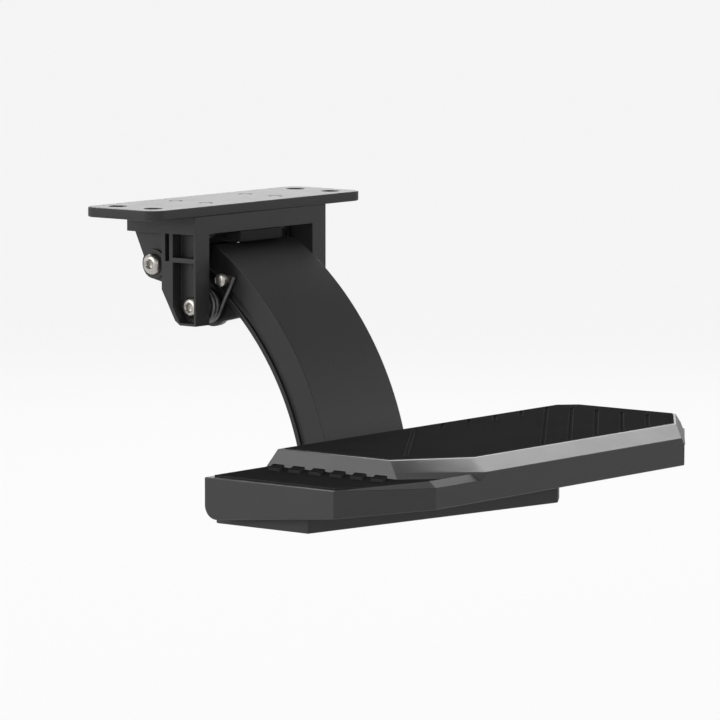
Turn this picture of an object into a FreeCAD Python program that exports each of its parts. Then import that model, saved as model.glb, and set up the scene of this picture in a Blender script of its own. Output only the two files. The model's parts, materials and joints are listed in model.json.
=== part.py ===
"""Retractable truck bed step: a levelling four-bar linkage that carries a faceted tread.

Millimetres. X runs to the right, Y forward and Z up. The origin is the centre of the
mounting plate's bolt pattern, on the plate's top face.
"""
import FreeCAD, Part
import math
import os
import Sketcher
from types import SimpleNamespace

# Driving dimensions

SIZES = {
    # Mounting plate
    "plate_length": 200.0,
    "plate_depth": 58.0,
    "plate_thickness": 6.0,
    "plate_corner": 10.0,
    "frame_bolt_pitch_x": 168.0,
    "frame_bolt_pitch_y": 28.0,
    "frame_bolt_hole": 5.5,
    # Hinge casting
    "roof_thickness": 11.0,
    "spring_room": 11.0,
    "cheek_wall": 13.0,
    "cheek_back": 9.0,
    "cheek_foot": 10.7,
    "casting_front": 26.0,
    "front_wall": 6.0,
    "ear_boss": 9.0,
    "ear_recess": 7.0,
    "ear_seat": 2.0,
    "pocket_depth": 8.0,
    "rib": 3.0,
    "roof_bolt_pitch_x": 66.0,
    "roof_bolt_pitch_y": 24.0,
    "roof_bolt": 4.0,
    "roof_bolt_head": 6.4,
    # Linkage pivots: the foot pivot lies on the arm, and the link's pivots are offset from the arm's
    "arm_pivot_y": -19.5,
    "arm_pivot_z": -61.3,
    "link_offset_y": 28.6,
    "link_offset_z": 24.8,
    "foot_pivot_angle": 176.4,
    "foot_pivot_depth": 4.7,
    "pivot_pin": 5.0,
    "pivot_head": 6.5,
    "pivot_head_height": 4.0,
    "pivot_nut": 7.5,
    "pivot_nut_height": 6.0,
    "pin_end": 8.0,
    "bush_wall": 2.0,
    "running_clearance": 0.05,
    "side_clearance": 0.5,
    # Main arm
    "arm_radius": 192.0,
    "arm_pivot_angle": 126.8,
    "arm_pivot_depth": 32.5,
    "arm_top_angle": 121.0,
    "arm_foot_angle": 168.0,
    "arm_half_width": 38.0,
    "arm_depth": 22.0,
    "arm_web": 5.0,
    "arm_flank": 6.0,
    "groove_start": 14.5,
    "groove_width": 4.5,
    "groove_depth": 2.0,
    "ear_inset": 1.5,
    "arm_boss": 13.0,
    "foot_boss": 10.5,
    # Control link
    "link_half_width": 18.0,
    "link_thickness": 9.0,
    "link_depth": 15.8,
    "link_boss": 9.0,
    # Springs and their posts
    "post_angle": 127.5,
    "post_depth": 10.0,
    "post_shank": 2.6,
    "post_head": 3.9,
    "post_length": 9.6,
    "spring_coil": 9.6,
    "spring_wire": 1.2,
    # Rubber stop
    "stop_gap": 0.4,
    "stop_length": 12.0,
    "stop_half_width": 20.0,
    # Step body: its rim stands over the foot pivot and its front edge lies behind it
    "rim_rise": 40.3,
    "front_gap": 45.1,
    "step_left": 204.0,
    "step_right": 146.0,
    "step_depth": 130.0,
    "left_corner_x": 46.0,
    "left_corner_y": 36.0,
    "right_corner_x": 64.0,
    "right_corner_y": 45.0,
    "front_corner": 10.0,
    "rear_wall": 12.3,
    "front_height": 24.6,
    "skin": 5.0,
    "toe_round": 8.0,
    "cell_rib": 6.0,
    "cell_top": 9.0,
    "screw_boss": 8.8,
    "screw_boss_sink": 1.0,
    # Raised platform
    "platform_half": 139.0,
    "platform_rise": 9.5,
    "bevel_start": 4.1,
    "rear_bevel": 18.0,
    "side_bevel": 11.0,
    "right_bevel": 6.0,
    "platform_corner_x": 40.0,
    "platform_corner_y": 29.0,
    "tread_inset": 2.5,
    "tread_recess": 1.5,
    "tread_thickness": 2.0,
    "tread_groove": 4.0,
    "tread_groove_depth": 1.0,
    "tread_groove_pitch": 26.0,
    "tread_groove_end": 18.0,
    "tread_margin": 4.0,
    "tread_rib_height": 0.8,
    "tread_rib_place": 122.0,
    "tread_notch": 16.0,
    # Ledge grip
    "grip_inset": 4.0,
    "grip_thickness": 1.2,
    "lug_height": 1.6,
    "lug_pitch": 15.0,
    "lug_width": 8.5,
    "lug_length": 15.0,
    # Step bracket
    "bracket_drop": 27.5,
    "bracket_ear": 6.0,
    "bracket_flange": 5.0,
    "bracket_left": 194.0,
    "step_screw": 4.0,
    "step_screw_head": 6.5,
    "step_screw_head_height": 4.0,
}

LUGS_ON_SIDE = 6
LUG_SLANT = 0.55
TREAD_GROOVES = 5
TREAD_NOTCHES = 5
BODY_CELLS = 7
SPRING_WHOLE_TURNS = 2
FULL_TURN = 360.0

# Outline corners, in shares of the size that each outline grows with

EAR_CORNERS = ((1.0, 0.3), (1.0, -0.5), (0.4, -1.0), (-1.0, -1.3))
FOOT_CORNERS = ((0.7, -0.75), (0.35, -1.0))
ARM_EAR_CORNERS = ((0.96, 0.28), (0.28, -0.96))
ARM_EAR_SWEEP = (1, 15)
FOOT_EAR_SWEEP = (5, 1)
BRACKET_FOOT_CORNERS = ((-0.5, -0.9), (0.5, -0.9))
BRACKET_LINK_CORNERS = ((1.0, -0.35), (0.6, 0.8), (-0.6, 0.9))
BRACKET_SHARES = ((-1.0, 0.0), (-1.0, 0.52), (-0.03, 0.785), (0.035, 0.72))
BRACKET_RIGHT_SHARE = 0.38
SCREW_SHARES = ((-0.72, 0.25), (-0.45, 0.45), (-0.15, 0.45), (0.1, 0.2))
LEFT_CORNER_DROP = 1.25
LEFT_CORNER_RUN = 0.35
RIGHT_CORNER_RUN = 1.28
RIGHT_CORNER_RISE = 0.92


class Size:
    """A length with both its spreadsheet expression and its value, so sums of sizes stay linked."""

    def __init__(self, text, value):
        self.text = text
        self.value = float(value)

    def __add__(self, other):
        return combine(self, "+", other, self.value + to_size(other).value)

    def __radd__(self, other):
        return to_size(other) + self

    def __sub__(self, other):
        return combine(self, "-", other, self.value - to_size(other).value)

    def __rsub__(self, other):
        return to_size(other) - self

    def __mul__(self, other):
        return combine(self, "*", other, self.value * to_size(other).value)

    def __rmul__(self, other):
        return to_size(other) * self

    def __truediv__(self, other):
        return combine(self, "/", other, self.value / to_size(other).value)

    def __neg__(self):
        return Size(f"(0 - {self.text})", -self.value)


def to_size(number):
    """Wrap a plain number as a Size."""
    if isinstance(number, Size):
        return number
    return Size(f"({number})", number)


def combine(left, sign, right, value):
    """Join two sizes with an arithmetic sign."""
    return Size(f"({left.text} {sign} {to_size(right).text})", value)


def root(size):
    """Square root of a size."""
    return Size(f"sqrt({size.text})", math.sqrt(size.value))


def cosine(angle):
    """Cosine of an angle in degrees."""
    return Size(f"cos({angle.text} * 1 deg)", math.cos(math.radians(angle.value)))


def sine(angle):
    """Sine of an angle in degrees."""
    return Size(f"sin({angle.text} * 1 deg)", math.sin(math.radians(angle.value)))


def make_sheet(doc):
    """Write the driving dimensions to a spreadsheet and return them as linked sizes."""
    sheet = doc.addObject("Spreadsheet::Sheet", "sizes")
    linked = {}
    for row, (name, value) in enumerate(SIZES.items(), start=1):
        sheet.set(f"A{row}", name)
        sheet.set(f"B{row}", str(value))
        sheet.setAlias(f"B{row}", name)
        linked[name] = Size(f"sizes.{name}", value)
    doc.recompute()
    return SimpleNamespace(**linked)


doc = FreeCAD.newDocument("bed_step")
s = make_sheet(doc)
subparts = []


# Sketches and features

def new_body(name):
    """Start a sub-part and list it for writing."""
    body = doc.addObject("PartDesign::Body", name)
    body.Label = name
    subparts.append(body)
    return body


def origin_feature(body, role):
    """Find one of the body's own origin planes or axes."""
    return next(item for item in body.Origin.OriginFeatures if item.Role == role)


def pin_point(sketch, geometry, position, point):
    """Tie a sketch point to its two linked coordinates."""
    for kind, size in (("DistanceX", point[0]), ("DistanceY", point[1])):
        size = to_size(size)
        index = sketch.addConstraint(
            Sketcher.Constraint(kind, -1, 1, geometry, position, size.value))
        sketch.setExpression(f"Constraints[{index}]", size.text)


def vector(point):
    """A sketch point's present place."""
    return FreeCAD.Vector(to_size(point[0]).value, to_size(point[1]).value, 0)


def add_loop(sketch, points):
    """Draw a closed polygon with every corner tied to the sheet."""
    first = sketch.GeometryCount
    count = len(points)
    for index, point in enumerate(points):
        following = points[(index + 1) % count]
        sketch.addGeometry(Part.LineSegment(vector(point), vector(following)), False)
    for index in range(count):
        following = first + (index + 1) % count
        sketch.addConstraint(Sketcher.Constraint("Coincident", first + index, 2, following, 1))
    for index, point in enumerate(points):
        pin_point(sketch, first + index, 1, point)


def add_circle(sketch, centre, radius):
    """Draw a circle tied to the sheet."""
    radius = to_size(radius)
    up = FreeCAD.Vector(0, 0, 1)
    geometry = sketch.addGeometry(Part.Circle(vector(centre), up, radius.value), False)
    pin_point(sketch, geometry, 3, centre)
    index = sketch.addConstraint(Sketcher.Constraint("Radius", geometry, radius.value))
    sketch.setExpression(f"Constraints[{index}]", radius.text)


def new_sketch(body, plane, loops=(), circles=(), offset=None):
    """A sketch of polygons and circles on one of the body's planes, lifted by an offset."""
    sketch = body.newObject("Sketcher::SketchObject", f"{body.Name}_sketch")
    sketch.AttachmentSupport = [(origin_feature(body, plane), "")]
    sketch.MapMode = "FlatFace"
    if offset is not None:
        sketch.setExpression("AttachmentOffset.Base.z", offset.text)
    for points in loops:
        add_loop(sketch, points)
    for centre, radius in circles:
        add_circle(sketch, centre, radius)
    return sketch


def feature(body, kind, sketch, length, both_ways=False, backwards=False):
    """A pad or pocket of a sketch."""
    made = body.newObject(f"PartDesign::{kind}", f"{body.Name}_{kind.lower()}")
    made.Profile = sketch
    made.SideType = "Symmetric" if both_ways else "One side"
    made.Reversed = backwards
    made.setExpression("Length", to_size(length).text)
    doc.recompute()
    return made


def pad(body, sketch, length, **options):
    return feature(body, "Pad", sketch, length, **options)


def pocket(body, sketch, length, **options):
    """A pocket, which has to take something away."""
    before = body.Shape.Volume
    made = feature(body, "Pocket", sketch, length, **options)
    if body.Shape.Volume > before - 1e-3:
        raise RuntimeError(f"{made.Name} cuts nothing")
    return made


def side_pad(body, loops=(), circles=(), half_width=None):
    """A side profile carried across the part's middle plane."""
    sketch = new_sketch(body, "YZ_Plane", loops, circles)
    return pad(body, sketch, 2 * half_width, both_ways=True)


def side_pocket(body, loops=(), circles=(), half_width=None):
    """A side profile cut out across the part's middle plane."""
    sketch = new_sketch(body, "YZ_Plane", loops, circles)
    return pocket(body, sketch, 2 * half_width, both_ways=True)


def side_recess(body, side, face, depth, loops=(), circles=()):
    """A recess cut into a side face towards the middle plane."""
    sketch = new_sketch(body, "YZ_Plane", loops, circles, offset=side * face)
    return pocket(body, sketch, depth, backwards=side < 0)


def round_edges(body, radius, wanted):
    """Fillet the edges of the body's tip that a test picks out."""
    tip = body.Tip
    names = [f"Edge{number}" for number, edge in enumerate(tip.Shape.Edges, start=1) if wanted(edge)]
    made = body.newObject("PartDesign::Fillet", f"{body.Name}_round")
    made.Base = (tip, names)
    made.setExpression("Radius", to_size(radius).text)
    doc.recompute()
    return made


def is_upright(edge):
    """True for a straight edge along Z."""
    box = edge.BoundBox
    return box.ZLength > max(box.XLength, box.YLength) * 50


def place(body, x, y, z):
    """Put a sub-part at linked coordinates."""
    for axis, size in (("x", x), ("y", y), ("z", z)):
        body.setExpression(f"Placement.Base.{axis}", to_size(size).text)


def turned(name, profile, at):
    """A turned piece: a half profile of (along X, radius) revolved about X and put in place."""
    body = new_body(name)
    sketch = new_sketch(body, "XY_Plane", [profile])
    made = body.newObject("PartDesign::Revolution", f"{name}_turn")
    made.Profile = sketch
    made.ReferenceAxis = (origin_feature(body, "X_Axis"), [""])
    made.Angle = FULL_TURN
    place(body, *at)
    doc.recompute()
    return body


def tube_profile(start, end, inner, outer):
    """Half profile of a plain tube."""
    return [(start, inner), (end, inner), (end, outer), (start, outer)]


def bolt_profile(side, head_face, head_height, head, shank_end, shank):
    """Half profile of a headed pin whose head stands on a face, on the left or right side."""
    outer = side * (head_face + head_height)
    face = side * head_face
    tip = side * shank_end
    return [(outer, 0), (outer, head), (face, head), (face, shank), (tip, shank), (tip, 0)]


def rectangle(low_x, low_y, high_x, high_y):
    """Corners of an upright rectangle."""
    return [(low_x, low_y), (high_x, low_y), (high_x, high_y), (low_x, high_y)]


def grid(pitch_x, pitch_y):
    """Corners of a rectangular bolt pattern about the origin."""
    return [(sx * pitch_x / 2, sy * pitch_y / 2) for sx in (-1, 1) for sy in (-1, 1)]


# Places that several pieces share

arm_pivot = (s.arm_pivot_y, s.arm_pivot_z)
link_pivot = (s.arm_pivot_y + s.link_offset_y, s.arm_pivot_z + s.link_offset_z)
pivot_reach = s.arm_radius - s.arm_pivot_depth
arm_centre = (s.arm_pivot_y - pivot_reach * cosine(s.arm_pivot_angle),
              s.arm_pivot_z - pivot_reach * sine(s.arm_pivot_angle))


def on_arm(angle, depth):
    """A point of the arm's side view: an angle about the arm's centre and a depth under its back."""
    reach = s.arm_radius - depth
    return (arm_centre[0] + reach * cosine(angle), arm_centre[1] + reach * sine(angle))


step_pivot = on_arm(s.foot_pivot_angle, s.foot_pivot_depth)
level_pivot = (step_pivot[0] + s.link_offset_y, step_pivot[1] + s.link_offset_z)

roof_top = -s.plate_thickness
roof_under = roof_top - s.roof_thickness
cheek_inner = s.arm_half_width + s.spring_room
cheek_outer = cheek_inner + s.cheek_wall
pivot_seat = cheek_outer - s.pocket_depth
ear_seat = cheek_outer - s.ear_recess + s.ear_seat
cheek_rear = s.arm_pivot_y - s.cheek_back
cheek_bottom = s.arm_pivot_z - s.cheek_foot
pin_hole = s.pivot_pin + s.running_clearance
bush_outer = s.pivot_pin + s.running_clearance + s.bush_wall
bush_hole = bush_outer + s.running_clearance
ear_half_width = s.arm_half_width - s.ear_inset
channel_half = s.arm_half_width - s.arm_flank
bracket_inner = s.arm_half_width + s.side_clearance
bracket_outer = bracket_inner + s.bracket_ear

rim_z = step_pivot[1] + s.rim_rise
step_front = step_pivot[0] - s.front_gap
step_rear = step_front - s.step_depth
rear_under = rim_z - s.rear_wall
front_under = rim_z - s.front_height
platform_top = rim_z + s.platform_rise
bracket_bottom = rim_z - s.bracket_drop


def beside(point, dy, dz):
    """A point offset from another in the side view."""
    return (point[0] + dy, point[1] + dz)


def corners(point, size, shares):
    """Outline corners about a point, at shares of a size."""
    return [beside(point, along * size, up * size) for along, up in shares]


def distance(first, second):
    """Distance between two linked points."""
    across = second[0] - first[0]
    up = second[1] - first[1]
    return root(across * across + up * up)


def under_slope(overhang):
    """Ends of the step's sloping underside, run on past the front and rear by an overhang."""
    fall = (front_under - rear_under) / s.step_depth * overhang
    return (step_rear - overhang, rear_under - fall), (step_front + overhang, front_under + fall)


# Mounting plate and hinge casting

def make_mounting_plate():
    body = new_body("mounting_plate")
    half_x = s.plate_length / 2
    half_y = s.plate_depth / 2
    outline = rectangle(-half_x, -half_y, half_x, half_y)
    pad(body, new_sketch(body, "XY_Plane", [outline]), s.plate_thickness, backwards=True)
    round_edges(body, s.plate_corner, is_upright)
    frame_holes = [(centre, s.frame_bolt_hole) for centre in grid(s.frame_bolt_pitch_x, s.frame_bolt_pitch_y)]
    tapped = s.roof_bolt + s.running_clearance
    roof_holes = [(centre, tapped) for centre in grid(s.roof_bolt_pitch_x, s.roof_bolt_pitch_y)]
    pocket(body, new_sketch(body, "XY_Plane", circles=frame_holes + roof_holes), s.plate_thickness)


def casting_outline():
    """Side view of the casting: roof, forward ear around the link pivot, sloping foot and straight back."""
    front = s.casting_front
    return [
        (cheek_rear, roof_top),
        (front, roof_top),
        (front, roof_under),
        *corners(link_pivot, s.ear_boss, EAR_CORNERS),
        *corners(arm_pivot, s.cheek_foot, FOOT_CORNERS),
        (cheek_rear, cheek_bottom),
    ]


def casting_pockets():
    """Side view of the pockets between the cheek's ribs; the lower one sinks the arm's pivot bolt."""
    rear = cheek_rear + s.rib / 2
    front = s.arm_pivot_y + s.cheek_back
    slot_front = front + s.rib + s.rib
    cross_rib = (roof_under + s.arm_pivot_z + s.arm_boss) / 2
    low = cheek_bottom + s.rib / 2
    high = cross_rib - s.rib / 2
    foot = s.arm_pivot_y + FOOT_CORNERS[1][0] * s.cheek_foot
    return [
        rectangle(rear, cross_rib + s.rib / 2, front, roof_under),
        [(rear, low), (foot, low), (front, s.arm_pivot_z), (front, high), (rear, high)],
        rectangle(front + s.rib, link_pivot[1] + s.rib, slot_front, roof_under),
    ]


def make_hinge_casting():
    body = new_body("hinge_casting")
    side_pad(body, [casting_outline()], half_width=cheek_outer)
    inside = rectangle(cheek_rear - s.rib, cheek_bottom - s.rib, s.casting_front - s.front_wall, roof_under)
    side_pocket(body, [inside], half_width=cheek_inner)
    ear_line = s.arm_pivot_y + s.cheek_back + 3 * s.rib
    ear = rectangle(ear_line, cheek_bottom, s.casting_front + s.rib, roof_under)
    for side in (-1, 1):
        side_recess(body, side, cheek_outer, s.ear_recess, [ear])
        seat = new_sketch(body, "YZ_Plane", circles=[(link_pivot, s.ear_boss)], offset=side * ear_seat)
        pad(body, seat, s.ear_seat, backwards=side > 0)
        side_recess(body, side, cheek_outer, s.pocket_depth, casting_pockets())
    side_pocket(body, circles=[(arm_pivot, pin_hole), (link_pivot, pin_hole)],
                half_width=cheek_outer + s.rib)
    holes = [(centre, s.roof_bolt + s.running_clearance)
             for centre in grid(s.roof_bolt_pitch_x, s.roof_bolt_pitch_y)]
    pocket(body, new_sketch(body, "XY_Plane", circles=holes), s.plate_thickness + s.roof_thickness)


def make_roof_bolts():
    """Four bolts up through the roof into the plate's tapped holes."""
    body = new_body("roof_bolts")
    centres = grid(s.roof_bolt_pitch_x, s.roof_bolt_pitch_y)
    heads = [(centre, s.roof_bolt_head) for centre in centres]
    shanks = [(centre, s.roof_bolt) for centre in centres]
    pad(body, new_sketch(body, "XY_Plane", circles=heads, offset=roof_under), s.roof_bolt, backwards=True)
    pad(body, new_sketch(body, "XY_Plane", circles=shanks, offset=roof_under),
        s.plate_thickness + s.roof_thickness - 2 * s.running_clearance)


def make_stop_bumper():
    """Rubber block under the roof that the arm's top edge comes to rest against."""
    body = new_body("stop_bumper")
    arm_top = on_arm(s.arm_top_angle, to_size(0))
    low = arm_top[1] + s.stop_gap
    outline = rectangle(cheek_rear, low, cheek_rear + s.stop_length, roof_under)
    side_pad(body, [outline], half_width=s.stop_half_width)


# Main arm

def make_main_arm():
    """Curved channel: a ring sector whose inside is cut away between the flanks, with ears for its pivots."""
    body = new_body("main_arm")
    inner = s.arm_radius - s.arm_depth
    side_pad(body, circles=[(arm_centre, s.arm_radius), (arm_centre, inner)], half_width=s.arm_half_width)
    far = -s.arm_radius
    top = on_arm(s.arm_top_angle, far)
    foot = on_arm(s.arm_foot_angle, far)
    beyond = 3 * s.arm_radius
    right, low = arm_centre[0] + beyond, arm_centre[1] - beyond
    rest = [arm_centre, foot, (foot[0], low), (right, low), (right, top[1]), top]
    side_pocket(body, [rest], half_width=s.arm_half_width + s.arm_web)
    middle = (s.arm_depth + s.arm_web) / 2
    ear = [
        on_arm(s.arm_top_angle + ARM_EAR_SWEEP[0], middle),
        *corners(arm_pivot, s.arm_boss, ARM_EAR_CORNERS),
        on_arm(s.arm_top_angle + ARM_EAR_SWEEP[1], middle),
    ]
    foot_ear = [
        on_arm(s.arm_foot_angle - FOOT_EAR_SWEEP[0], middle),
        beside(step_pivot, s.foot_boss, 0),
        beside(step_pivot, -s.foot_boss, 0),
        on_arm(s.arm_foot_angle - FOOT_EAR_SWEEP[1], s.arm_web / 2),
    ]
    side_pad(body, [ear], half_width=ear_half_width)
    side_pad(body, circles=[(arm_pivot, s.arm_boss)], half_width=ear_half_width)
    side_pad(body, [foot_ear], half_width=s.arm_half_width)
    side_pad(body, circles=[(step_pivot, s.foot_boss)], half_width=s.arm_half_width)
    side_pocket(body, circles=[(arm_centre, s.arm_radius - s.arm_web)], half_width=channel_half)
    ring = [(arm_centre, s.arm_radius - s.groove_start),
            (arm_centre, s.arm_radius - s.groove_start - s.groove_width)]
    for side in (-1, 1):
        side_recess(body, side, s.arm_half_width, s.groove_depth, circles=ring)
    post = on_arm(s.post_angle, s.post_depth)
    side_pocket(body, circles=[(arm_pivot, bush_hole), (step_pivot, bush_hole),
                               (post, s.post_shank + s.running_clearance)],
                half_width=s.arm_half_width + s.arm_web)


def make_arm_fittings():
    """Pivot bolts, bushes and spring posts, left and right."""
    post = on_arm(s.post_angle, s.post_depth)
    for side, word in ((-1, "left"), (1, "right")):
        pivot = bolt_profile(side, pivot_seat, s.pivot_head_height, s.pivot_head, channel_half, s.pivot_pin)
        turned(f"arm_pivot_bolt_{word}", pivot, (0, *arm_pivot))
        bush = tube_profile(side * channel_half, side * ear_half_width, pin_hole, bush_outer)
        turned(f"arm_bush_{word}", bush, (0, *arm_pivot))
        sleeve_outer = s.spring_coil - s.spring_wire - s.side_clearance
        sleeve = tube_profile(side * (ear_half_width + s.side_clearance), side * cheek_inner,
                              pin_hole, sleeve_outer)
        turned(f"spring_sleeve_{word}", sleeve, (0, *arm_pivot))
        head_face = s.arm_half_width + s.post_length - s.post_head
        post_profile = bolt_profile(side, head_face, s.post_head, s.post_head, channel_half, s.post_shank)
        turned(f"spring_post_{word}", post_profile, (0, *post))


# Torsion springs

def make_torsion_springs():
    """Coils on the arm's pivot: one leg lies behind the arm's post, the tail stands up under the roof."""
    wire = s.spring_wire.value
    coil = s.spring_coil.value
    start = (s.arm_half_width + s.side_clearance + s.spring_wire).value
    end = (cheek_inner - s.side_clearance - s.spring_wire).value
    post = on_arm(s.post_angle, s.post_depth)
    post_y = (post[0] - arm_pivot[0]).value
    post_z = (post[1] - arm_pivot[1]).value
    post_reach = math.hypot(post_y, post_z)
    offset = coil - wire - (s.post_shank + s.running_clearance).value
    leg_angle = math.degrees(math.atan2(post_z, post_y) + math.acos(offset / post_reach))
    turns = SPRING_WHOLE_TURNS + 1 - leg_angle / FULL_TURN
    helix = Part.makeHelix((end - start) / turns, end - start, coil)
    section = Part.Wire(Part.Circle(FreeCAD.Vector(coil, 0, 0), FreeCAD.Vector(0, 1, 0), wire).toShape())
    spring = Part.Wire(helix).makePipeShell([section], True, True)
    leg_length = math.sqrt(post_reach ** 2 - offset ** 2) + s.post_head.value
    leg = Part.makeCylinder(wire, leg_length, FreeCAD.Vector(coil, 0, 0), FreeCAD.Vector(0, -1, 0))
    spring = spring.fuse(leg)
    spring.rotate(FreeCAD.Vector(0, 0, 0), FreeCAD.Vector(0, 0, 1), leg_angle)
    tail_length = (roof_under - arm_pivot[1] - s.side_clearance).value
    tail = Part.makeCylinder(wire, tail_length, FreeCAD.Vector(coil, 0, end - start), FreeCAD.Vector(0, 1, 0))
    spring = spring.fuse(tail)
    upright = FreeCAD.Rotation(
        FreeCAD.Vector(0, 1, 0), FreeCAD.Vector(0, 0, 1), FreeCAD.Vector(1, 0, 0), "XYZ")
    spring.Placement = FreeCAD.Placement(
        FreeCAD.Vector(start, arm_pivot[0].value, arm_pivot[1].value), upright)
    mirrored = spring.mirror(FreeCAD.Vector(0, 0, 0), FreeCAD.Vector(1, 0, 0))
    for word, shape in (("left", mirrored), ("right", spring)):
        spring_object = doc.addObject("Part::Feature", f"torsion_spring_{word}")
        spring_object.Label = f"torsion_spring_{word}"
        spring_object.Shape = shape
        subparts.append(spring_object)


# Control link

def make_control_link():
    """Bowed bar between the link's two pivots, lying in the arm's channel while the step is out."""
    body = new_body("control_link")
    dy = level_pivot[0] - link_pivot[0]
    dz = level_pivot[1] - link_pivot[1]
    chord = distance(link_pivot, level_pivot)
    middle = ((link_pivot[0] + level_pivot[0]) / 2, (link_pivot[1] + level_pivot[1]) / 2)
    bow = s.arm_radius - s.link_depth - distance(arm_centre, middle)
    radius = (chord * chord / 4 + bow * bow) / (2 * bow)
    back = (radius - bow) / chord
    centre = (middle[0] - back * dz, middle[1] + back * dy)
    outer = radius + s.link_thickness / 2
    inner = radius - s.link_thickness / 2
    side_pad(body, circles=[(centre, outer), (centre, inner)], half_width=s.link_half_width)
    along = (dy / chord * radius, dz / chord * radius)
    below = (-3 * along[1], 3 * along[0])
    top = (link_pivot[0] - along[0], link_pivot[1] - along[1])
    foot = (level_pivot[0] + along[0], level_pivot[1] + along[1])
    rest = [top, foot, beside(foot, *below), beside(top, *below)]
    side_pocket(body, [rest], half_width=s.link_half_width + s.arm_web)
    bosses = [(link_pivot, s.link_boss), (level_pivot, s.link_boss)]
    side_pad(body, circles=bosses, half_width=s.link_half_width)
    side_pocket(body, circles=[(link_pivot, bush_hole), (level_pivot, bush_hole)],
                half_width=s.link_half_width + s.arm_web)


def make_link_fittings():
    """The link's upper and lower pins with their nuts, spacers and bushes."""
    for word, seat, pivot in (("link", ear_seat, link_pivot), ("level", bracket_outer, level_pivot)):
        pin = bolt_profile(-1, seat, s.pivot_head_height, s.pivot_head, -seat - s.pin_end, s.pivot_pin)
        turned(f"{word}_pin", pin, (0, *pivot))
        nut = tube_profile(seat, seat + s.pivot_nut_height, pin_hole, s.pivot_nut)
        turned(f"{word}_pin_nut", nut, (0, *pivot))
    spacer_outer = pin_hole + s.bush_wall
    spacer_inner_end = s.link_half_width + s.side_clearance
    for side, word in ((-1, "left"), (1, "right")):
        upper = tube_profile(side * spacer_inner_end, side * cheek_inner, pin_hole, spacer_outer)
        turned(f"link_spacer_{word}", upper, (0, *link_pivot))
        lower = tube_profile(side * spacer_inner_end, side * bracket_inner, pin_hole, spacer_outer)
        turned(f"level_spacer_{word}", lower, (0, *level_pivot))
    bush = tube_profile(-s.link_half_width, s.link_half_width, pin_hole, bush_outer)
    turned("link_bush_upper", bush, (0, *link_pivot))
    turned("link_bush_lower", bush, (0, *level_pivot))


# Step bracket

def screw_places():
    """Plan view of the screws that hold the step on its bracket."""
    return [(along * s.bracket_left, step_front - deep * s.step_depth) for along, deep in SCREW_SHARES]


def make_step_bracket():
    """Wedge plate under the tread with two ears, in front of the tread, for the arm and the link."""
    body = new_body("step_bracket")
    front = step_front
    right = bracket_outer
    plan = [(along * s.bracket_left, front - deep * s.step_depth) for along, deep in BRACKET_SHARES]
    plan += [(right, front - BRACKET_RIGHT_SHARE * s.step_depth), (right, front)]
    pad(body, new_sketch(body, "XY_Plane", [plan], offset=bracket_bottom), s.bracket_drop)
    rear_end, front_end = under_slope(s.bracket_flange)
    above = [rear_end, front_end, (front_end[0], platform_top), (rear_end[0], platform_top)]
    side_pocket(body, [above], half_width=s.step_left)
    ears = [
        (front, bracket_bottom),
        *corners(step_pivot, s.foot_boss, BRACKET_FOOT_CORNERS),
        *corners(level_pivot, s.link_boss, BRACKET_LINK_CORNERS),
        (front, rim_z - s.skin),
    ]
    side_pad(body, [ears], half_width=bracket_outer)
    clear = rectangle(front + s.bracket_flange, step_pivot[1] - 2 * s.foot_boss,
                      level_pivot[0] + 2 * s.link_boss, platform_top)
    side_pocket(body, [clear], half_width=bracket_inner)
    side_pocket(body, circles=[(step_pivot, pin_hole), (level_pivot, pin_hole)],
                half_width=bracket_outer + s.skin)
    holes = [(centre, s.step_screw + s.running_clearance) for centre in screw_places()]
    pocket(body, new_sketch(body, "XY_Plane", circles=holes, offset=bracket_bottom), s.bracket_drop,
           backwards=True)


def make_step_fittings():
    """Pivot bolts and bushes between bracket and arm, and the screws that hold the tread."""
    for side, word in ((-1, "left"), (1, "right")):
        pivot = bolt_profile(side, bracket_outer, s.pivot_head_height, s.pivot_head, channel_half,
                             s.pivot_pin)
        turned(f"step_pivot_bolt_{word}", pivot, (0, *step_pivot))
        bush = tube_profile(side * channel_half, side * s.arm_half_width, pin_hole, bush_outer)
        turned(f"step_bush_{word}", bush, (0, *step_pivot))
    body = new_body("step_screws")
    heads = [(centre, s.step_screw_head) for centre in screw_places()]
    shanks = [(centre, s.step_screw) for centre in screw_places()]
    pad(body, new_sketch(body, "XY_Plane", circles=heads, offset=bracket_bottom), s.step_screw_head_height,
        backwards=True)
    pad(body, new_sketch(body, "XY_Plane", circles=shanks, offset=bracket_bottom),
        s.bracket_drop - s.cell_top - s.running_clearance)


# Tread

def step_outline():
    """Plan view of the step: square left end, cut-off rear corners, small cut at the front right."""
    left = -s.step_left
    right = s.step_right
    return [
        (left, step_rear + s.left_corner_y),
        (left + s.left_corner_x, step_rear),
        (right - s.right_corner_x, step_rear),
        (right, step_rear + s.right_corner_y),
        (right, step_front - s.front_corner),
        (right - s.front_corner, step_front),
        (left, step_front),
    ]


def platform_outline(side_set_back, right_set_back, rear_set_back, front_set_back):
    """Plan view of the raised platform, its edges set out or in from its top edge."""
    left = -s.platform_half - side_set_back
    right = s.platform_half + right_set_back
    rear = step_rear + s.rear_bevel - rear_set_back
    front = step_front + front_set_back
    corner = s.platform_corner_y
    drop = side_set_back * LEFT_CORNER_DROP
    return [
        (left, rear + corner + rear_set_back - drop),
        (left + s.platform_corner_x - LEFT_CORNER_RUN * rear_set_back, rear),
        (right - s.platform_corner_x - RIGHT_CORNER_RUN * rear_set_back, rear),
        (right, rear + corner + RIGHT_CORNER_RISE * rear_set_back),
        (right, front - s.front_corner),
        (right - s.front_corner, front),
        (left, front),
    ]


def is_toe(edge):
    """True for the step's lower front edge."""
    box = edge.BoundBox
    near = 1e-3
    return (box.XLength > s.step_right.value and abs(box.YMin - step_front.value) < near
            and abs(box.ZMin - front_under.value) < near and abs(box.ZMax - front_under.value) < near)


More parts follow.
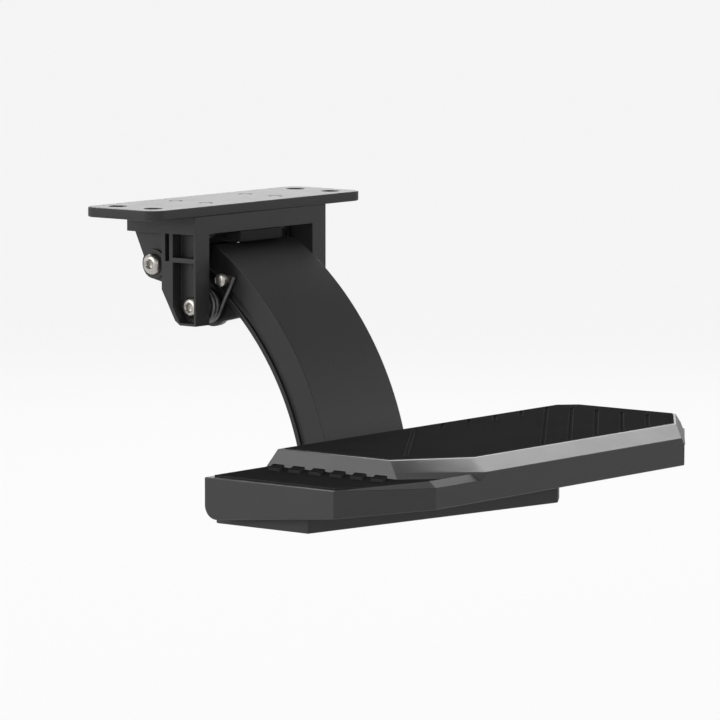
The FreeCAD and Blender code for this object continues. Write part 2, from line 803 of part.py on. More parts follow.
def make_step_body():
    """Cast tread: rim block, lofted platform, ribbed hollow underside and a sloping bottom."""
    body = new_body("step_body")
    outline = step_outline()
    pad(body, new_sketch(body, "XY_Plane", [outline], offset=rim_z), s.front_height, backwards=True)
    none = to_size(0)
    share = 1 - s.bevel_start / s.platform_rise
    foot = new_sketch(body, "XY_Plane", [platform_outline(s.side_bevel, s.right_bevel, s.rear_bevel, none)],
                      offset=rim_z)
    waist = new_sketch(
        body, "XY_Plane",
        [platform_outline(s.side_bevel * share, s.right_bevel * share, s.rear_bevel, none)],
        offset=rim_z + s.bevel_start)
    top = new_sketch(body, "XY_Plane", [platform_outline(none, none, none, none)], offset=platform_top)
    loft = body.newObject("PartDesign::AdditiveLoft", "step_body_platform")
    loft.Profile = foot
    loft.Sections = [waist, top]
    loft.Ruled = True
    doc.recompute()
    inset = -s.tread_inset
    recess = platform_outline(inset, inset, inset, inset)
    pocket(body, new_sketch(body, "XY_Plane", [recess], offset=platform_top), s.tread_recess)
    left = -s.step_left + s.left_corner_x
    right = s.step_right - s.right_corner_x
    pitch = (right - left + s.cell_rib) / BODY_CELLS
    cells = [rectangle(left + number * pitch, step_rear + s.skin,
                       left + (number + 1) * pitch - s.cell_rib, step_front - s.skin - s.toe_round / 2)
             for number in range(BODY_CELLS)]
    cell_roof = rim_z - s.front_height
    pocket(body, new_sketch(body, "XY_Plane", cells, offset=cell_roof), s.front_height - s.cell_top,
           backwards=True)
    bosses = [(centre, s.screw_boss) for centre in screw_places()]
    pad(body, new_sketch(body, "XY_Plane", circles=bosses, offset=rim_z - s.cell_top + s.screw_boss_sink),
        s.front_height - s.cell_top + s.screw_boss_sink, backwards=True)
    rear_end, front_end = under_slope(s.skin)
    low = bracket_bottom - s.skin
    below = [rear_end, front_end, (front_end[0], low), (rear_end[0], low)]
    side_pocket(body, [below], half_width=s.step_left + s.skin)
    holes = [(centre, s.step_screw + s.running_clearance) for centre in screw_places()]
    pocket(body, new_sketch(body, "XY_Plane", circles=holes, offset=bracket_bottom),
           s.bracket_drop - s.cell_top, backwards=True)
    round_edges(body, s.toe_round, is_toe)


def make_tread_pad():
    """Grip insert in the platform's recess: slanting grooves, notches along its front and a raised rib."""
    body = new_body("tread_pad")
    inset = -s.tread_inset - s.running_clearance
    base = platform_top - s.tread_recess
    outline = platform_outline(inset, inset, inset, inset)
    pad(body, new_sketch(body, "XY_Plane", [outline], offset=base), s.tread_thickness)
    rear = step_rear + s.rear_bevel + s.tread_margin
    front = step_front - s.tread_margin
    right = s.platform_half - s.tread_groove_end
    corner = s.platform_half - s.platform_corner_x
    pitch = s.tread_groove_pitch
    grooves = [slanting_band(corner - (number + 1) * pitch, rear, front, right)
               for number in range(TREAD_GROOVES)]
    notch_rear = front - s.tread_notch
    run = (notch_rear - rear) * s.platform_corner_x / s.platform_corner_y
    first = corner + run - (TREAD_GROOVES + 1) * pitch
    notches = [slanting_band(first - number * pitch, notch_rear, front, right)
               for number in range(TREAD_NOTCHES)]
    top = base + s.tread_thickness
    pocket(body, new_sketch(body, "XY_Plane", grooves + notches, offset=top), s.tread_groove_depth)
    rib = slanting_band(-s.tread_rib_place, rear + s.platform_corner_y, front - s.tread_notch / 2, right)
    pad(body, new_sketch(body, "XY_Plane", [rib], offset=top), s.tread_rib_height)


def slanting_band(start, rear, front, right):
    """Plan view of a band along the platform's right corner, from a rear line to a front or right line."""
    rise = s.platform_corner_y / s.platform_corner_x
    to_front = (front - rear) / rise
    to_right = right - start
    run = to_front if to_front.value < to_right.value else to_right
    end = (start + run, rear + run * rise)
    return [(start, rear), (start + s.tread_groove, rear), (end[0] + s.tread_groove, end[1]), end]


def make_ledge_grip():
    """Grip strip on the low left ledge with a row of slanting lugs along the platform's foot."""
    body = new_body("ledge_grip")
    platform_foot = platform_outline(s.side_bevel, s.right_bevel, s.rear_bevel, to_size(0))
    turn, tip = platform_foot[0], platform_foot[1]
    left = -s.step_left + s.grip_inset
    foot = turn[0] - s.side_clearance
    front = step_front - s.grip_inset
    rear = step_rear + 2 * s.grip_inset
    lean = (tip[0] - turn[0]) / (turn[1] - tip[1])
    outline = [
        (left, front),
        (left, step_rear + s.left_corner_y + s.grip_inset / 2),
        (left + s.left_corner_x, rear),
        (foot + (turn[1] - rear) * lean - s.side_clearance, rear),
        (foot, turn[1]),
        (foot, front),
    ]
    pad(body, new_sketch(body, "XY_Plane", [outline], offset=rim_z), s.grip_thickness)
    slant = LUG_SLANT * s.lug_length
    lugs = []
    for number in range(LUGS_ON_SIDE):
        low = step_front - s.lug_pitch * (number + 1)
        inner = foot - s.side_clearance
        outer = foot - s.lug_length
        lugs.append([(outer, low - slant), (inner, low), (inner, low + s.lug_width),
                     (outer, low + s.lug_width - slant)])
    pad(body, new_sketch(body, "XY_Plane", lugs, offset=rim_z), s.grip_thickness + s.lug_height)


make_mounting_plate()
make_hinge_casting()
make_roof_bolts()
make_stop_bumper()
make_main_arm()
make_arm_fittings()
make_torsion_springs()
make_control_link()
make_link_fittings()
make_step_bracket()
make_step_fittings()
make_step_body()
make_tread_pad()
make_ledge_grip()
doc.recompute()

failed = [item.Name for item in doc.Objects if {"Invalid", "Error"} & set(item.State)]
if failed:
    raise RuntimeError(f"Failed objects: {failed}")
for item in subparts:
    if item.Shape.isNull() or not item.Shape.isValid():
        raise RuntimeError(f"{item.Label} has no valid shape")

os.makedirs("parts", exist_ok=True)
for item in subparts:
    item.Shape.exportStep(f"parts/{item.Label}.step")
    box = item.Shape.BoundBox
    print(f"{item.Label:24s} {item.Shape.Volume:10.0f} mm3  solids {len(item.Shape.Solids)}  "
          f"{box.XMin:7.1f} {box.XMax:7.1f} {box.YMin:7.1f} {box.YMax:7.1f} {box.ZMin:7.1f} {box.ZMax:7.1f}")
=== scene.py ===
"""Looks of the retractable bed step: powder-coated castings, a gritty black tread and bright turned bolts.

Metres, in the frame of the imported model: X to the right, Y forward, Z up from the mounting plate's top.
"""
import json
import math

import bmesh
import bpy
import numpy as np
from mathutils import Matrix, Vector


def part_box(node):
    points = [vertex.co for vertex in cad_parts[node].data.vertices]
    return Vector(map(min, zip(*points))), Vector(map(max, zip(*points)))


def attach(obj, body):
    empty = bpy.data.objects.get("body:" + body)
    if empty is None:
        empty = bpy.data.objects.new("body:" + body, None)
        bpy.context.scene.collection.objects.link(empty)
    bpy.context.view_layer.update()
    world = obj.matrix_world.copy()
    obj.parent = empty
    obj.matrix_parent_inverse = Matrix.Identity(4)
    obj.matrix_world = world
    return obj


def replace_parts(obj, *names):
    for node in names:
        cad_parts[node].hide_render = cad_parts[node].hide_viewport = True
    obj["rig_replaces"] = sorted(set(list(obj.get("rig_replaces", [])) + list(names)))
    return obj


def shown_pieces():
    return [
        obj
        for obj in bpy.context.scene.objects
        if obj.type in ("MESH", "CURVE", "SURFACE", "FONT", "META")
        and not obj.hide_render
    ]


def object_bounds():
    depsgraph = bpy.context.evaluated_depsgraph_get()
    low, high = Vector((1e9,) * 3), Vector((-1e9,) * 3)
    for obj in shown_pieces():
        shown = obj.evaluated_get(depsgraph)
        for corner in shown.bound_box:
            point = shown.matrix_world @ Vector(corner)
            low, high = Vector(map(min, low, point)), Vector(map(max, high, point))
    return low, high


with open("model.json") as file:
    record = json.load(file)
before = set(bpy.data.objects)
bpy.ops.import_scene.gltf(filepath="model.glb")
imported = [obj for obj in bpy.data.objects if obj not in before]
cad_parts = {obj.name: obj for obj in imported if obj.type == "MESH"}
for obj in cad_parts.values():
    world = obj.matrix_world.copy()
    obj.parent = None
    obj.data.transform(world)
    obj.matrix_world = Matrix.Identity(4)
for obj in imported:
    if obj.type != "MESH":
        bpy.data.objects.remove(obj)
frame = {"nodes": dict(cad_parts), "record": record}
cad_low, cad_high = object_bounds()
MM = 0.001

record = frame["record"]
body_of = {node: body for body, nodes in record["behaviour"]["bodies"].items() for node in nodes}
slot_of = {part["node"]: part["material_slot"] for part in record["subparts"]}


# Shader expressions

class Wire:
    """A shader socket. Arithmetic on it adds Math nodes, and node() adds any other node to the same tree."""

    def __init__(self, tree, socket):
        self.tree = tree
        self.socket = socket

    def node(self, kind, settings, inputs, output=0):
        """Add a node of a type: settings first, then its sockets' values or links. Gives one output."""
        made = self.tree.nodes.new("ShaderNode" + kind)
        for name, setting in settings.items():
            setattr(made, name, setting)
        for name, value in inputs.items():
            if isinstance(value, Wire):
                self.tree.links.new(value.socket, made.inputs[name])
            else:
                made.inputs[name].default_value = value
        return Wire(self.tree, made.outputs[output])

    def maths(self, operation, first, second):
        return self.node("Math", {"operation": operation}, {0: first, 1: second})

    def __add__(self, other):
        return self.maths("ADD", self, other)

    def __radd__(self, other):
        return self.maths("ADD", other, self)

    def __sub__(self, other):
        return self.maths("SUBTRACT", self, other)

    def __rsub__(self, other):
        return self.maths("SUBTRACT", other, self)

    def __mul__(self, other):
        return self.maths("MULTIPLY", self, other)

    def __rmul__(self, other):
        return self.maths("MULTIPLY", other, self)

    def noise(self, size, detail=2.0, stretch=(1.0, 1.0, 1.0)):
        """Cloudy noise from 0 to 1 whose blobs are about one size across, squeezed along the axes."""
        squeezed = self.node("VectorMath", {"operation": "MULTIPLY"}, {0: self, 1: stretch})
        return self.node("TexNoise", {}, {"Vector": squeezed, "Scale": 1 / size, "Detail": detail})

    def grains(self, size):
        """Distance from the nearest of scattered grains, for grit and cast skin."""
        return self.node("TexVoronoi", {}, {"Vector": self, "Scale": 1 / size})

    def step_up(self, low, high):
        """A smooth rise from 0 below one value to 1 above another."""
        limits = {"Value": self, "From Min": low, "From Max": high}
        return self.node("MapRange", {"interpolation_type": "SMOOTHSTEP"}, limits)

    def tint(self, dark, light):
        """A colour between two, by this value."""
        return self.node("Mix", {"data_type": "RGBA"}, {0: self, 6: (*dark, 1), 7: (*light, 1)}, 2)

    def bump(self, height, strength):
        """A normal tilted by this value taken as a height in metres times the one given."""
        return self.node("Bump", {}, {"Strength": strength, "Distance": height, "Height": self}, 0)


def new_finish(name):
    """An empty finish: the material and its Object coordinates."""
    material = bpy.data.materials.new(name)
    material.use_nodes = True
    coordinates = material.node_tree.nodes.new("ShaderNodeTexCoord")
    return material, Wire(material.node_tree, coordinates.outputs["Object"])


def set_finish(material, sockets):
    """Fill the finish's main shader: a wire is linked and a plain value is set."""
    shader = material.node_tree.nodes["Principled BSDF"]
    for name, value in sockets.items():
        if isinstance(value, Wire):
            material.node_tree.links.new(value.socket, shader.inputs[name])
        else:
            shader.inputs[name].default_value = value
    return material


def grey(level):
    """A neutral colour."""
    return (level, level, level)


def powder_coat(name, level, gloss, peel_size, peel_height):
    """Baked powder: faint clouds of tone, an orange-peel skin and a finer speckle in its gloss."""
    material, at = new_finish(name)
    clouds = at.noise(26 * MM)
    peel = at.noise(peel_size, 3.0)
    speckle = at.noise(0.35 * MM, 1.0)
    tone = clouds * 0.6 + speckle * 0.4
    return set_finish(material, {
        "Base Color": tone.tint(grey(level * 0.82), grey(level * 1.18)),
        "Roughness": gloss + clouds * 0.06 + speckle * 0.07,
        "Normal": (peel + speckle * 0.25).bump(peel_height, 0.5),
    })


def cast_coat(name, level, gloss):
    """Powder over a die-cast skin: shallow pits and slow waves show through the coat."""
    material, at = new_finish(name)
    clouds = at.noise(18 * MM)
    waves = at.noise(4 * MM)
    pits = at.grains(1.1 * MM)
    tone = clouds * 0.7 + pits * 0.3
    return set_finish(material, {
        "Base Color": tone.tint(grey(level * 0.8), grey(level * 1.2)),
        "Roughness": gloss + clouds * 0.08 + pits * 0.05,
        "Normal": (waves + pits * 0.35).bump(0.12 * MM, 0.5),
    })


def grip(name, level, edge_highlight_level):
    """Moulded grip: sharp scattered grit on a dull black ground, with paler tips, and its side faces and
    edges painted paler as a highlight.
    """
    material, at = new_finish(name)
    grit = at.grains(1.0 * MM)
    fine = at.noise(0.4 * MM)
    clouds = at.noise(30 * MM)
    tips = (1 - grit).step_up(0.62, 0.95)
    normal = at.node("NewGeometry", {}, {}, "True Normal")
    upward = at.node("SeparateXYZ", {}, {0: normal}, "Z")
    # Painted highlight: faces that do not point up are made paler, in cloudy patches.
    painted_edge_highlight = (1 - upward).step_up(0.02, 0.12) * (0.5 + clouds)
    tone = tips * 0.2 + clouds * 0.12 + fine * 0.08 + painted_edge_highlight
    return set_finish(material, {
        "Base Color": tone.tint(grey(level * 0.7), grey(edge_highlight_level)),
        "Roughness": 0.84 + fine * 0.16,
        "Specular IOR Level": 0.01,
        "Normal": (tips + fine * 0.4).bump(0.25 * MM, 0.7),
    })


def rubber(name, level):
    """Moulded rubber: dull, with a dusty bloom in patches."""
    material, at = new_finish(name)
    bloom = at.noise(9 * MM, 4.0)
    fine = at.noise(0.5 * MM)
    return set_finish(material, {
        "Base Color": bloom.tint(grey(level * 0.8), grey(level * 1.6)),
        "Roughness": 0.72 + bloom * 0.15,
        "Specular IOR Level": 0.3,
        "Normal": fine.bump(0.08 * MM, 0.4),
    })


def turned_metal(name, colour, gloss, line_size):
    """Lathe-turned metal: fine lines round the axis along X, a few darker stains and a soft gloss."""
    material, at = new_finish(name)
    lines = at.noise(line_size, 2.0, (1.0, 0.06, 0.06))
    stains = at.noise(5 * MM, 3.0)
    dark = tuple(0.72 * part for part in colour)
    return set_finish(material, {
        "Base Color": (stains * 0.6 + lines * 0.4).tint(dark, colour),
        "Metallic": 1.0,
        "Roughness": gloss + lines * 0.12 + stains * 0.08,
        "Normal": lines.bump(0.02 * MM, 0.3),
    })


def drawn_wire(name, level):
    """Phosphated spring wire: dark metal with a dull mottled skin."""
    material, at = new_finish(name)
    mottle = at.noise(1.6 * MM, 4.0)
    return set_finish(material, {
        "Base Color": mottle.tint(grey(level * 0.7), grey(level * 1.3)),
        "Metallic": 0.9,
        "Roughness": 0.38 + mottle * 0.16,
        "Normal": mottle.bump(0.03 * MM, 0.3),
    })


FINISHES = {
    "black_casting": cast_coat("cast_black", 0.028, 0.40),
    # The arm's level is partly its black powder coat and partly painted shade: it is set darker than the step
    # to stand in for the shade under the bumper.
    "arm_black": powder_coat("arm_satin_painted_shade", 0.016, 0.26, 1.6 * MM, 0.05 * MM),
    "step_black": powder_coat("step_satin", 0.034, 0.36, 1.2 * MM, 0.06 * MM),
    "bracket_black": powder_coat("bracket_satin", 0.024, 0.42, 1.4 * MM, 0.08 * MM),
    "tread_black": grip("tread_grit", 0.010, 0.05),
    "rubber_black": rubber("stop_rubber", 0.014),
    "sleeve_nylon": rubber("sleeve_nylon", 0.05),
    "bush_bronze": turned_metal("bush_bronze", (0.45, 0.30, 0.13), 0.32, 0.5 * MM),
    "zinc_dark": turned_metal("zinc_dark", (0.11, 0.11, 0.115), 0.36, 0.6 * MM),
    "bright_steel": turned_metal("bright_steel", (0.62, 0.60, 0.56), 0.20, 0.4 * MM),
    "spring_steel": drawn_wire("spring_wire", 0.16),
}


# Pieces

SHARP_ANGLE = math.radians(32)
FLAT_ANGLE = math.radians(0.6)
ACUTE_ANGLE = math.radians(25)
FACET_ANGLE = math.radians(16)
FACETED = {"step_body", "step_bracket"}
WELD = 1e-6
ROUND_SEGMENTS = 2


def add_detail(name, mesh, node):
    """Show a mesh on a CAD node's body and in its finish."""
    piece = bpy.data.objects.new(name, mesh)
    bpy.context.scene.collection.objects.link(piece)
    mesh.materials.clear()
    mesh.materials.append(FINISHES[slot_of[node]])
    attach(piece, body_of[node])
    return piece


def add_piece(name, mesh, node):
    """Show a mesh in place of a CAD node, on the node's body and in its finish."""
    piece = add_detail(name, mesh, node)
    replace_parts(piece, node)
    return piece


def smooth_mesh(mesh):
    """Shade the mesh smoothly, apart from edges sharper than the sharp angle."""
    mesh.shade_smooth()
    mesh.set_sharp_from_angle(angle=SHARP_ANGLE)


def close_up(mesh):
    """Merge the mesh's doubled points and turn its faces outwards."""
    shape = bmesh.new()
    shape.from_mesh(mesh)
    bmesh.ops.remove_doubles(shape, verts=shape.verts, dist=WELD)
    bmesh.ops.recalc_face_normals(shape, faces=shape.faces)
    shape.to_mesh(mesh)
    shape.free()


def welded(node):
    """The node's own surface with its seams closed."""
    shape = bmesh.new()
    shape.from_mesh(frame["nodes"][node].data)
    bmesh.ops.remove_doubles(shape, verts=shape.verts, dist=WELD)
    return shape


def solid_boxes(node):
    """Lowest and highest corner of each separate solid of a node."""
    shape = welded(node)
    waiting = set(shape.verts)
    boxes = []
    while waiting:
        found = [waiting.pop()]
        for point in found:
            near = {edge.other_vert(point) for edge in point.link_edges} & waiting
            waiting -= near
            found.extend(near)
        places = np.array([point.co for point in found])
        boxes.append((places.min(axis=0), places.max(axis=0)))
    shape.free()
    return boxes


def joined(name, meshes):
    """One mesh from several."""
    shape = bmesh.new()
    for mesh in meshes:
        shape.from_mesh(mesh)
    whole = bpy.data.meshes.new(name)
    shape.to_mesh(whole)
    shape.free()
    smooth_mesh(whole)
    return whole


def leaves(edge, point):
    """Direction of an edge away from one of its ends."""
    return edge.other_vert(point).co - point.co


def edges_to_round(shape, least):
    """Edges sharper than the least angle, but for any that meet at an acute angle, where two curves touch."""
    sharp = {edge for edge in shape.edges if edge.is_manifold and edge.calc_face_angle() > least}
    acute = set()
    for edge in sharp:
        for point in edge.verts:
            others = (sharp & set(point.link_edges)) - {edge}
            if any(leaves(edge, point).angle(leaves(other, point)) < ACUTE_ANGLE for other in others):
                acute.add(edge)
    return sharp - acute


def dress_rounded(node, edge):
    """Show the node's own surface with its flat triangles joined and its sharp edges rounded.

    Faces of many corners are cut into triangles before the rounding, so that none folds over itself.
    """
    mesh = bpy.data.meshes.new(node + "_dressed")
    shape = welded(node)
    bmesh.ops.dissolve_limit(shape, angle_limit=FLAT_ANGLE, verts=shape.verts, edges=shape.edges)
    weight = shape.edges.layers.float.new("bevel_weight_edge")
    for sharp in edges_to_round(shape, FACET_ANGLE if node in FACETED else SHARP_ANGLE):
        sharp[weight] = 1.0
    bmesh.ops.triangulate(shape, faces=[face for face in shape.faces if len(face.verts) > 4])
    shape.to_mesh(mesh)
    shape.free()
    mesh.shade_smooth()
    piece = add_piece(node + "_dressed", mesh, node)
    if edge > 0:
        bevel = piece.modifiers.new("rounded_edges", "BEVEL")
        bevel.limit_method = "WEIGHT"
        bevel.width = edge
        bevel.segments = ROUND_SEGMENTS
        bevel.use_clamp_overlap = False
        bevel.loop_slide = False
        piece.modifiers.new("flat_faces", "WEIGHTED_NORMAL")
    else:
        mesh.set_sharp_from_angle(angle=SHARP_ANGLE)


ROUND = 1e3
LATHE_SIDES = 48


def lathe_mesh(name, rows, head, axis, pitch=None, thread_depth=0.0, closed=False):
    """A turned piece with flats.

    Each row is (distance from the head's outer face, round radius, flat radius, threaded). At an angle, the
    radius is the smaller of the round radius and the hexagon of that flat radius, less a helical saw wave
    on threaded rows. Rows are carried round the axis, which points from the tip out through the head.
    """
    rows = np.array(rows, float)
    turn = np.linspace(0, 2 * math.pi, LATHE_SIDES, endpoint=False)
    along, limit, flat, threaded = (column[:, None] for column in rows.T)
    from_flat = (turn % (math.pi / 3)) - math.pi / 6
    radius = np.minimum(limit, flat / np.cos(from_flat)[None, :])
    if pitch:
        phase = (along / pitch - turn[None, :] / (2 * math.pi)) % 1.0
        radius = radius - threaded * thread_depth * np.abs(2 * phase - 1)
    axis = np.array(axis, float)
    side_a = np.array([axis[1], axis[2], axis[0]])
    side_b = np.cross(axis, side_a)
    outward = np.cos(turn)[None, :, None] * side_a + np.sin(turn)[None, :, None] * side_b
    points = np.array(head)[None, None, :] - along[:, :, None] * axis + radius[:, :, None] * outward
    count = len(rows)
    row = np.arange(count if closed else count - 1)[:, None]
    next_row = (row + 1) % count
    column = np.arange(LATHE_SIDES)[None, :]
    next_column = (column + 1) % LATHE_SIDES
    nearer = row * LATHE_SIDES + column
    nearer_next = row * LATHE_SIDES + next_column
    further = next_row * LATHE_SIDES + column
    further_next = next_row * LATHE_SIDES + next_column
    quads = np.stack([nearer, nearer_next, further_next, further], axis=-1).reshape(-1, 4)
    mesh = bpy.data.meshes.new(name)
    mesh.from_pydata(points.reshape(-1, 3).tolist(), [], quads.tolist())
    close_up(mesh)
    smooth_mesh(mesh)
    return mesh


HEAD_HEIGHT = 4.0 * MM
SOCKET_FLAT = 2.5 * MM
SOCKET_RIM = 1.25 * SOCKET_FLAT
SOCKET_CHAMFER = 0.45 * MM
SOCKET_DEPTH = 2.4 * MM
SOCKET_POINT = 0.4 * MM
EDGE = 0.35 * MM
THREAD_PITCH = 1.25 * MM
THREAD_DEPTH = 0.6 * MM
ROWS_PER_TURN = 6
DOME_ROWS = 6
DOME_START = 0.12


def button_head(head):
    """Rows from the socket's floor out over the dome to the head's underside.

    The crown is a quarter of an ellipse round a hexagon socket.
    """
    rows = [(SOCKET_DEPTH + SOCKET_POINT, 0.0, ROUND, 0), (SOCKET_DEPTH, ROUND, SOCKET_FLAT, 0)]
    rows += [(SOCKET_CHAMFER, ROUND, SOCKET_FLAT, 0), (0.0, SOCKET_RIM, ROUND, 0)]
    crown = HEAD_HEIGHT - 3 * EDGE
    for sweep in np.linspace(DOME_START, 1, DOME_ROWS) * math.pi / 2:
        radius = SOCKET_RIM + (head - SOCKET_RIM) * math.sin(sweep)
        rows.append((crown * (1 - math.cos(sweep)), radius, ROUND, 0))
    return rows + [(HEAD_HEIGHT - EDGE, head, ROUND, 0), (HEAD_HEIGHT, head - EDGE, ROUND, 0)]


def plain_shank(start, end, radius):
    """Rows of a smooth shank with a chamfered tip."""
    return [(start, radius, ROUND, 0), (end - 2 * EDGE, radius, ROUND, 0),
            (end, radius - 2 * EDGE, ROUND, 0), (end, 0.0, ROUND, 0)]


def threaded_shank(start, thread_start, end, radius):
    """Rows of a shank whose far end carries a helical thread."""
    rows = [(start, radius, ROUND, 0), (thread_start - EDGE, radius, ROUND, 0)]
    turns = np.arange(thread_start, end - 3 * EDGE, THREAD_PITCH / ROWS_PER_TURN)
    rows += [(along, radius, ROUND, 1) for along in turns]
    return rows + [(end, radius - 3 * EDGE, ROUND, 0), (end, 0.0, ROUND, 0)]


PIN_RADIUS = 5.0 * MM
PIN_THREAD = 9.0 * MM


def axis_line(node):
    """Middle of a turned node across its axis along X, its two ends and its largest radius."""
    low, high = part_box(node)
    middle = (low + high) / 2
    return low.x, high.x, middle.y, middle.z, (high.z - low.z) / 2


def dress_socket_bolt(node, side, threaded):
    """Show a button-head bolt along X with its head at the left (-1) or right (+1) end."""
    left, right, y, z, head = axis_line(node)
    outer = left if side < 0 else right
    length = right - left
    rows = button_head(head)
    if threaded:
        rows += threaded_shank(HEAD_HEIGHT, length - PIN_THREAD, length, PIN_RADIUS)
    else:
        rows += plain_shank(HEAD_HEIGHT, length, PIN_RADIUS)
    mesh = lathe_mesh(node + "_turned", rows, (outer, y, z), (side, 0, 0), pitch=THREAD_PITCH,
                      thread_depth=THREAD_DEPTH)
    add_piece(node + "_turned", mesh, node)


SCREW_RADIUS = 4.0 * MM
SCREW_THREAD = 5.0 * MM


def dress_upward_screws(node):
    """Show button-head screws that point up, one for each solid of the node."""
    meshes = []
    for low, high in solid_boxes(node):
        middle = (low + high) / 2
        length = high[2] - low[2]
        rows = button_head((high[0] - low[0]) / 2)
        rows += threaded_shank(HEAD_HEIGHT, length - SCREW_THREAD, length, SCREW_RADIUS)
        meshes.append(lathe_mesh(node + "_one", rows, (middle[0], middle[1], low[2]), (0, 0, -1),
                                 pitch=THREAD_PITCH, thread_depth=THREAD_DEPTH))
    add_piece(node + "_turned", joined(node + "_turned", meshes), node)


POST_HEAD = 3.9 * MM
POST_SHANK = 2.6 * MM
POST_CROWN = ((0.0, 0.0), (0.0, 0.5), (0.25 * MM, 0.78), (0.9 * MM, 1.0))


def dress_spring_post(node, side):
    """Show a post along X with a crowned head at its outer end, for a spring's leg.

    The crown's rows are depths, with shares of the head's radius.
    """
    left, right, y, z, head = axis_line(node)
    outer = left if side < 0 else right
    rows = [(depth, share * head, ROUND, 0) for depth, share in POST_CROWN]
    rows += [(POST_HEAD - EDGE, head, ROUND, 0), (POST_HEAD, head - EDGE, ROUND, 0)]
    rows += plain_shank(POST_HEAD, right - left, POST_SHANK)
    mesh = lathe_mesh(node + "_turned", rows, (outer, y, z), (side, 0, 0))
    add_piece(node + "_turned", mesh, node)


NUT_BORE = PIN_RADIUS + 0.05 * MM
NUT_CHAMFER = 0.6 * MM
COLLAR_HEIGHT = 1.8 * MM
COLLAR_SHARE = 0.93
COLLAR_LIP = 0.8 * MM
COLLAR_CHAMFER = 0.3 * MM
COLLAR_STEP = 0.1 * MM


def dress_lock_nut(node):
    """Show a hexagon nut with chamfered corners and a round locking collar, on a pin that runs along X."""
    left, right, y, z, corner = axis_line(node)
    height = right - left
    flat = corner * math.cos(math.pi / 6)
    collar = flat * COLLAR_SHARE
    shoulder = COLLAR_HEIGHT + COLLAR_STEP
    rows = [
        (0.0, NUT_BORE, ROUND, 0),
        (0.0, collar - COLLAR_LIP, ROUND, 0),
        (COLLAR_CHAMFER, collar, ROUND, 0),
        (COLLAR_HEIGHT, collar, ROUND, 0),
        (shoulder, flat, ROUND, 0),
        (shoulder + NUT_CHAMFER, corner, flat, 0),
        (height - NUT_CHAMFER, corner, flat, 0),
        (height, flat, flat, 0),
        (height, NUT_BORE, ROUND, 0),
    ]
    mesh = lathe_mesh(node + "_turned", rows, (right, y, z), (1, 0, 0), closed=True)
    add_piece(node + "_turned", mesh, node)


RIDGE_FOOT = np.array([(-203.7, -250.0, -137.0), (-157.9, -285.9, -137.0), (-111.0, -285.9, -137.0)]) * MM
RIDGE_INWARD = np.array([(0.616, 0.788, 0.0), (0.345, 1.0, 0.0), (0.0, 1.0, 0.0)])
RIDGE_RISE = np.array([0.2, 3.2, 3.2]) * MM
RIDGE_SLOPE = 0.53
UP = np.array([0.0, 0.0, 1.0])


def dress_ledge_ridge():
    """Show a low ridge round the ledge's rear corner.

    Its profile has three corners: the outer foot, the crest, and the inner foot straight below the crest.
    It is carried along the rim, mitred at the corner, and its rise grows from almost nothing.
    """
    inner = RIDGE_FOOT + RIDGE_INWARD * (RIDGE_RISE / RIDGE_SLOPE)[:, None]
    crest = inner + RIDGE_RISE[:, None] * UP
    points = np.stack([RIDGE_FOOT, crest, inner], axis=1).reshape(-1, 3)
    start = np.array([[0], [3]])
    corner = start + np.arange(3)
    after = start + (np.arange(3) + 1) % 3
    sides = np.stack([corner, after, after + 3, corner + 3], axis=-1).reshape(-1, 4)
    ends = [[2, 1, 0], [6, 7, 8]]
    mesh = bpy.data.meshes.new("ledge_ridge")
    mesh.from_pydata(points.tolist(), [], sides.tolist() + ends)
    close_up(mesh)
    add_detail("ledge_ridge", mesh, "step_body")


EDGE_ROUND = {
    "hinge_casting": 0.3 * MM,
    "main_arm": 0.45 * MM,
    "step_body": 0.5 * MM,
    "step_bracket": 0.8 * MM,
    "mounting_plate": 0.7 * MM,
    "control_link": 0.8 * MM,
    "stop_bumper": 1.2 * MM,
    "tread_pad": 0.3 * MM,
    "ledge_grip": 0.22 * MM,
    "torsion_spring_left": 0.0,
    "torsion_spring_right": 0.0,
}
SMALL_EDGE = 0.25 * MM

for word, side in (("left", -1), ("right", 1)):
    dress_socket_bolt("arm_pivot_bolt_" + word, side, threaded=False)
    dress_socket_bolt("step_pivot_bolt_" + word, side, threaded=False)
    dress_spring_post("spring_post_" + word, side)
for word in ("link", "level"):
    dress_socket_bolt(word + "_pin", -1, threaded=True)
    dress_lock_nut(word + "_pin_nut")
dress_upward_screws("roof_bolts")
dress_upward_screws("step_screws")

dressed = {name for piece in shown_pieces() for name in piece.get("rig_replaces", [])}
for node in sorted(set(body_of) - dressed):
    dress_rounded(node, EDGE_ROUND.get(node, SMALL_EDGE))
dress_ledge_ridge()


# Studio: pale floor, soft boxes and the photograph's viewpoint

CAMERA_PLACE = Vector((-2.441, -2.062, 0.264))
CAMERA_AIM = Vector((-0.029, -0.1285, -0.08775))
LENS = 262.0

FLOOR_GAP = 0.3
FLOOR_HALF = 14.0
FLOOR_TONE = 0.9
FLOOR_WHITE = 0.97
FLOOR_LIFT = 0.9


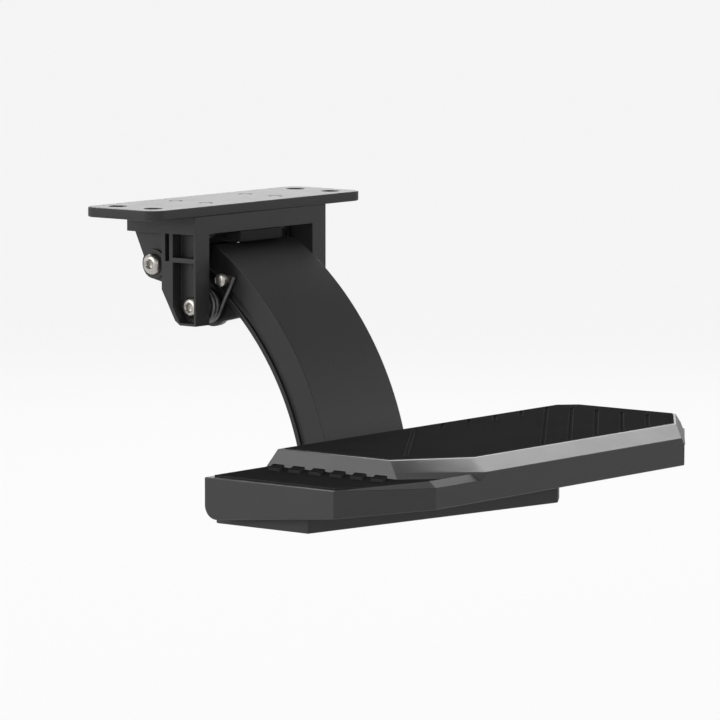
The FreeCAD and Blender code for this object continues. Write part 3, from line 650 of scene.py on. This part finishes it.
def make_floor():
    """A flat pale floor some way below the part, which hangs from its plate. It is clear from underneath."""
    level = cad_low.z - FLOOR_GAP
    half = FLOOR_HALF
    mesh = bpy.data.meshes.new("floor")
    corners = [(-half, -half, level), (half, -half, level), (half, half, level), (-half, half, level)]
    mesh.from_pydata(corners, [], [(0, 1, 2, 3)])
    floor = bpy.data.objects.new("floor", mesh)
    bpy.context.scene.collection.objects.link(floor)
    material, at = new_finish("floor_paper")
    mottle = at.noise(0.4)
    set_finish(material, {
        "Base Color": mottle.tint(grey(FLOOR_TONE), grey(FLOOR_TONE * 1.02)),
        "Roughness": 0.6,
        "Specular IOR Level": 0.2,
    })
    tree = material.node_tree
    paper = Wire(tree, tree.nodes["Principled BSDF"].outputs["BSDF"])
    white = at.node("Emission", {}, {"Strength": FLOOR_WHITE})
    seen = at.node("LightPath", {}, {}, "Is Camera Ray")
    lifted = at.node("MixShader", {}, {0: seen * FLOOR_LIFT, 1: paper, 2: white})
    below = at.node("NewGeometry", {}, {}, "Backfacing")
    clear = at.node("BsdfTransparent", {}, {})
    shown = at.node("MixShader", {}, {0: below, 1: lifted, 2: clear})
    tree.links.new(shown.socket, tree.nodes["Material Output"].inputs["Surface"])
    mesh.materials.append(material)


def soft_box(name, place, size, power):
    """A square soft light aimed at the middle of the part."""
    lamp = bpy.data.lights.new(name, "AREA")
    lamp.shape = "SQUARE"
    lamp.size = size
    lamp.energy = power
    holder = bpy.data.objects.new(name, lamp)
    holder.location = place
    holder.rotation_euler = (CAMERA_AIM - Vector(place)).to_track_quat("-Z", "Y").to_euler()
    bpy.context.scene.collection.objects.link(holder)


HORIZON_LIGHT = 0.95
ZENITH_LIGHT = 0.2


def make_world():
    """Surroundings pale near the horizon and dim overhead, as under a bumper, and white where seen."""
    world = bpy.data.worlds.new("studio")
    world.use_nodes = True
    tree = world.node_tree
    coordinates = tree.nodes.new("ShaderNodeTexCoord")
    direction = Wire(tree, coordinates.outputs["Generated"])
    height = direction.node("SeparateXYZ", {}, {0: direction}, "Z")
    level = HORIZON_LIGHT - height.step_up(0.1, 0.8) * (HORIZON_LIGHT - ZENITH_LIGHT)
    seen = direction.node("LightPath", {}, {}, "Is Camera Ray")
    shown = level + seen * (1 - level)
    tree.links.new(shown.socket, tree.nodes["Background"].inputs["Strength"])
    tree.nodes["Background"].inputs["Color"].default_value = (1, 1, 1, 1)
    bpy.context.scene.world = world


def make_camera():
    """The photograph's viewpoint, with a longer lens that fills the frame with the part."""
    lens = bpy.data.cameras.new("photo_view")
    lens.lens = LENS
    camera = bpy.data.objects.new("photo_view", lens)
    camera.location = CAMERA_PLACE
    camera.rotation_euler = (CAMERA_AIM - CAMERA_PLACE).to_track_quat("-Z", "Y").to_euler()
    bpy.context.scene.collection.objects.link(camera)
    bpy.context.scene.camera = camera


make_floor()
make_world()
soft_box("overhead", (-0.3, 0.2, 2.4), 2.2, 14)
soft_box("front_high", (-0.1, 1.7, 2.0), 1.2, 16)
soft_box("left_front", (-2.6, 1.2, 0.9), 1.6, 18)
soft_box("right_front", (2.4, 1.6, 1.3), 1.8, 34)
make_camera()
bpy.context.scene.view_settings.view_transform = "Standard"
